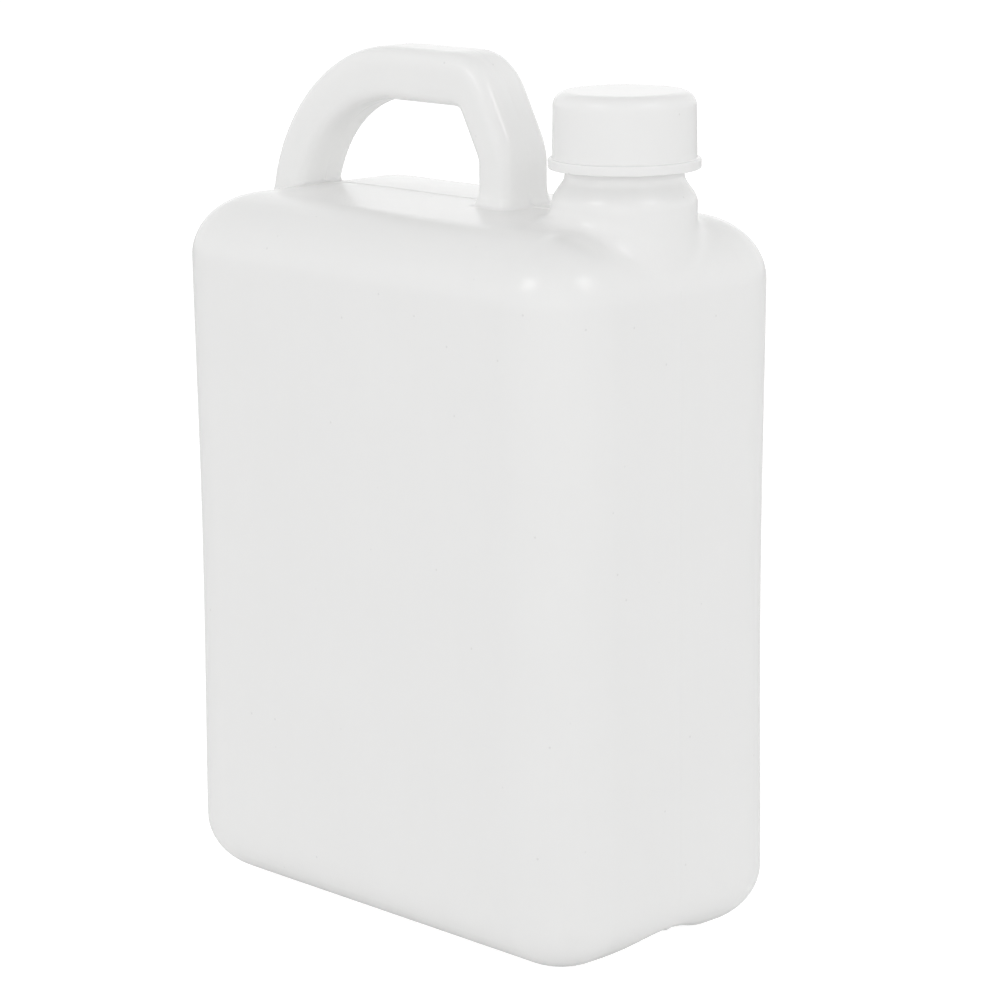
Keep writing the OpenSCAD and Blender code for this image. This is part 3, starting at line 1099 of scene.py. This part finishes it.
@dataclass
class ScrewCap:
    """The screw cap: plate, drafted skirt, rim at the foot and thread inside."""

    x: float = 74.9
    foot_z: float = 273.3
    plate_z: float = 297.2
    top_z: float = 299.2
    inner_r: float = 22.25
    skirt_r: float = 24.45
    draft: float = 0.3
    rim_r: float = 25.85
    rim_h: float = 3.4
    rounding: float = 4.9
    bevel: float = 0.9
    bore_edge: float = 0.4
    foot_edge: float = 0.5
    rim_edge: float = 0.7
    rim_fillet: float = 0.4
    axis_r: float = 0.02
    around: int = 192
    thread: ThreadRun = field(
        default_factory=lambda: ThreadRun(start=282.115, turns=1.5, first_turn=0.5)
    )
    finish: MouldedPlastic = MouldedPlastic(
        name="milky_cap_plastic",
        colour=(0.88, 0.88, 0.874),
        roughness=0.23,
        cloud_scale=45.0,
        cloud_strength=0.015,
        speck_scale=120.0,
        speck_radius=0.055,
        speck_depth=0.1,
        peel_scale=900.0,
        relief=0.012,
    )

    def outline(self) -> tuple[Profile, int]:
        """Draws the profile from the bore's top, down and round the outside to the axis.

        Returns:
            The profile, and how many of its points lie on the threaded bore.
        """
        bore, foot = self.bore_edge, self.foot_edge
        rim, inner = self.rim_edge, self.rim_fillet
        inside_z = self.plate_z - self.bevel
        rim_top = self.foot_z + self.rim_h
        wall_top = self.top_z - self.rounding
        top_r = self.skirt_r - self.draft
        skin = [(self.inner_r, inside_z)]
        skin += straight(self.inner_r, inside_z, self.inner_r, self.foot_z + bore, 0.35)
        count = len(skin)
        skin += bend(self.inner_r + bore, self.foot_z + bore, bore, 180.0, 270.0, 3)
        skin += bend(self.rim_r - foot, self.foot_z + foot, foot, 270.0, 360.0, 4)
        skin += bend(self.rim_r - rim, rim_top - rim, rim, 0.0, 90.0, 5)
        skin += bend(self.skirt_r + inner, rim_top + inner, inner, 270.0, 180.0, 4)
        skin += straight(self.skirt_r, rim_top + inner, top_r, wall_top, 2.0)
        skin += bend(top_r - self.rounding, wall_top, self.rounding, 0.0, 90.0, 12)
        skin += straight(top_r - self.rounding, self.top_z, self.axis_r, self.top_z, 2.5)
        skin += [(self.axis_r, self.top_z)]
        return skin, count

    def build(self) -> bpy.types.Object:
        """Makes the cap.

        Returns:
            The cap as one piece.
        """
        outline, count = self.outline()

        def shape(radius: np.ndarray, height: np.ndarray, angle: np.ndarray) -> np.ndarray:
            """Adds the thread to the bore.

            Args:
                radius: Radii of the points.
                height: Their heights.
                angle: Their angles round the axis.

            Returns:
                The new radii.
            """
            radius = radius.copy()
            radius[:count] -= self.thread.rise(height[:count], angle[:count])
            return radius

        outside = lathe(outline, self.around, shape)
        plate_r = self.inner_r - self.bevel
        under = [(self.axis_r, self.plate_z)]
        under += straight(self.axis_r, self.plate_z, plate_r, self.plate_z, 3.0)
        under += [(plate_r, self.plate_z), (self.inner_r, self.plate_z - self.bevel)]
        inside = lathe(under, self.around)
        piece = add_piece("screw_cap_shell", [outside, inside], (self.x, 0.0, 0.0))
        piece.data.materials.append(self.finish.material())
        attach(piece, Body.CAP.value)
        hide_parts("screw_cap")
        return piece


@dataclass
class SealingDisc:
    """The foam disc that seals the lip under the cap's plate."""

    x: float = 74.9
    low_z: float = 295.6
    thickness: float = 1.6
    radius: float = 21.05
    edge: float = 0.25
    axis_r: float = 0.02
    finish: ClosedFoam = ClosedFoam(
        name="white_foam", colour=(0.84, 0.84, 0.83), cell_scale=1400.0, relief=0.05
    )

    def build(self) -> bpy.types.Object:
        """Makes the disc.

        Returns:
            The disc as one piece.
        """
        top = self.low_z + self.thickness
        flat = self.radius - self.edge
        outline = [(self.axis_r, self.low_z)]
        outline += straight(self.axis_r, self.low_z, flat, self.low_z, 1.5)
        outline += bend(flat, self.low_z + self.edge, self.edge, 270.0, 360.0, 4)
        outline += bend(flat, top - self.edge, self.edge, 0.0, 90.0, 4)
        outline += straight(flat, top, self.axis_r, top, 1.5) + [(self.axis_r, top)]
        piece = add_piece("sealing_disc", [lathe(outline, 96)], (self.x, 0.0, 0.0))
        piece.data.materials.append(self.finish.material())
        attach(piece, Body.LINER.value)
        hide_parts("cap_liner")
        return piece


# ---------------------------------------------------------------- studio


def towards(azimuth: float, elevation: float) -> Vector:
    """Gives the direction from the bottle to a place round it.

    Args:
        azimuth: Angle in radians, 0 in front of the wide side.
        elevation: Angle over the ground in radians.

    Returns:
        The direction, of length 1.
    """
    level = math.cos(elevation)
    return Vector((math.sin(azimuth) * level, -math.cos(azimuth) * level, math.sin(elevation)))


@dataclass
class Lamp:
    """A soft square lamp that looks at the bottle.

    A mirrored lamp shows in the gloss of the plastic, and a filling one lights it.
    """

    name: str
    azimuth: float
    elevation: float
    distance: float
    size: float
    power: float
    mirrored: bool = True
    filling: bool = True

    def build(self, target: Vector) -> None:
        """Adds the lamp.

        Args:
            target: The place that it looks at.
        """
        away = towards(math.radians(self.azimuth), math.radians(self.elevation))
        light = bpy.data.lights.new(self.name, "AREA")
        light.shape = "SQUARE"
        light.size = self.size
        light.energy = self.power
        lamp = bpy.data.objects.new(self.name, light)
        lamp.location = target + away * self.distance
        lamp.rotation_euler = away.to_track_quat("Z", "Y").to_euler()
        lamp.visible_glossy = self.mirrored
        lamp.visible_diffuse = self.filling
        bpy.context.scene.collection.objects.link(lamp)


@dataclass
class Studio:
    """Floor, light and camera. Angles in degrees, lens in millimetres, lamps in metres."""

    world_even: float = 0.16
    world_level: float = 2.0
    floor_half: float = 6.0
    floor_z: float = -0.0002
    floor_colour: float = 0.92
    floor_light: float = 0.07
    floor_seen: float = 0.3
    floor_glow: float = 0.92
    lamps: tuple[Lamp, ...] = (
        Lamp("left_lamp", -5.0, 42.0, 1.6, 0.5, 2.1, filling=False),
        Lamp("right_lamp", 94.0, 44.0, 1.6, 0.5, 1.8, filling=False),
        Lamp("front_lamp", 46.0, 7.0, 2.2, 1.3, 2.4, mirrored=False),
        Lamp("top_lamp", 46.0, 80.0, 1.5, 1.2, 5.2, mirrored=False),
        Lamp("back_lamp", 226.0, 45.0, 1.6, 1.6, 3.6, mirrored=False),
        Lamp("rim_lamp", 226.0, 20.0, 2.0, 1.2, 1.0),
    )
    azimuth: float = 46.13
    elevation: float = 12.54
    roll: float = -0.44
    distance: float = 1291.4
    across: float = 9.21
    upward: float = -5.76
    target_z: float = 153.0
    lens: float = 129.85

    def world(self) -> None:
        """Makes light that is strongest level with the ground, before a white backdrop."""
        world = bpy.data.worlds.new("studio_world")
        world.use_nodes = True
        tree = world.node_tree
        tree.nodes.clear()
        add = node_maker(tree)
        out = add("ShaderNodeOutputWorld")
        soft = add("ShaderNodeBackground", {"Color": WHITE})
        way = add("ShaderNodeTexCoord")
        parts = add("ShaderNodeSeparateXYZ")
        tree.links.new(way.outputs["Generated"], parts.inputs[0])
        tilt = add("ShaderNodeMath", operation="ABSOLUTE")
        tree.links.new(parts.outputs["Z"], tilt.inputs[0])
        flat = add("ShaderNodeMath", {0: 1.0}, operation="SUBTRACT")
        tree.links.new(tilt.outputs[0], flat.inputs[1])
        eased = add("ShaderNodeMath", {1: 2.0}, operation="POWER")
        tree.links.new(flat.outputs[0], eased.inputs[0])
        strength = {1: self.world_level, 2: self.world_even}
        level = add("ShaderNodeMath", strength, operation="MULTIPLY_ADD")
        tree.links.new(eased.outputs[0], level.inputs[0])
        tree.links.new(level.outputs[0], soft.inputs["Strength"])
        white = add("ShaderNodeBackground", {"Color": WHITE, "Strength": 1.0})
        rays = ("Is Camera Ray", "Is Glossy Ray", "Is Transmission Ray")
        split_by_ray(tree, rays, soft, white, out)
        bpy.context.scene.world = world

    def floor(self) -> None:
        """Makes a pale floor that meets the white background and keeps the bottle's shadow."""
        mesh = bpy.data.meshes.new("floor")
        corners = [
            (x * self.floor_half, y * self.floor_half, self.floor_z)
            for x, y in ((-1, -1), (1, -1), (1, 1), (-1, 1))
        ]
        mesh.from_pydata(corners, [], [(0, 1, 2, 3)])
        floor = bpy.data.objects.new("floor", mesh)
        bpy.context.scene.collection.objects.link(floor)
        material, add = blank_material("pale_floor")
        tree = material.node_tree
        out = add("ShaderNodeOutputMaterial")
        coats = []
        for grey, strength in (
            (self.floor_colour, self.floor_light),
            (self.floor_seen, self.floor_glow),
        ):
            matt = add("ShaderNodeBsdfDiffuse", {"Color": (grey, grey, grey, 1.0)})
            glow = add("ShaderNodeEmission", {"Color": WHITE, "Strength": strength})
            coat = add("ShaderNodeAddShader")
            tree.links.new(matt.outputs[0], coat.inputs[0])
            tree.links.new(glow.outputs[0], coat.inputs[1])
            coats.append(coat)
        split_by_ray(tree, ("Is Camera Ray",), coats[0], coats[1], out)
        mesh.materials.append(material)
        floor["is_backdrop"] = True

    def camera(self) -> None:
        """Places the camera at the photograph's viewing angle."""
        a, e, roll = (math.radians(v) for v in (self.azimuth, self.elevation, self.roll))
        back = towards(a, e)
        right = Vector((math.cos(a), math.sin(a), 0.0))
        up = back.cross(right)
        turned_right = right * math.cos(roll) + up * math.sin(roll)
        turned_up = up * math.cos(roll) - right * math.sin(roll)
        place = Vector((0.0, 0.0, self.target_z)) + back * self.distance
        place += turned_right * self.across + turned_up * self.upward
        data = bpy.data.cameras.new("camera")
        data.sensor_width = 36.0
        data.lens = self.lens
        data.clip_start = 0.05
        data.clip_end = 50.0
        camera = bpy.data.objects.new("camera", data)
        axes = Matrix((turned_right, turned_up, back)).transposed().to_4x4()
        camera.matrix_world = Matrix.Translation(place * MM) @ axes
        bpy.context.scene.collection.objects.link(camera)
        bpy.context.scene.camera = camera

    def build(self) -> None:
        """Makes the whole studio."""
        self.world()
        self.floor()
        for lamp in self.lamps:
            lamp.build(Vector((0.0, 0.0, self.target_z * MM)))
        self.camera()
        bpy.context.scene.view_settings.view_transform = "Standard"


# ---------------------------------------------------------------- run


def as_lists(box: tuple[Vector, Vector]) -> list[list[float]]:
    """Turns the two corners of a box into plain lists of numbers."""
    return [list(corner) for corner in box]


def main(cad_box: list[list[float]]) -> None:
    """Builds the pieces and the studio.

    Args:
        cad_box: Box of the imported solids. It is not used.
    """
    logging.basicConfig(level=logging.INFO, format="%(name)s: %(message)s")
    Studio().build()
    for builder in (Bottle(), ScrewCap(), SealingDisc()):
        piece = builder.build()
        mesh = piece.data
        LOG.info("%s: %d points, %d faces", piece.name, len(mesh.vertices), len(mesh.polygons))
    bpy.context.view_layer.update()


if __name__ == "__main__":
    main(as_lists(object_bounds()))
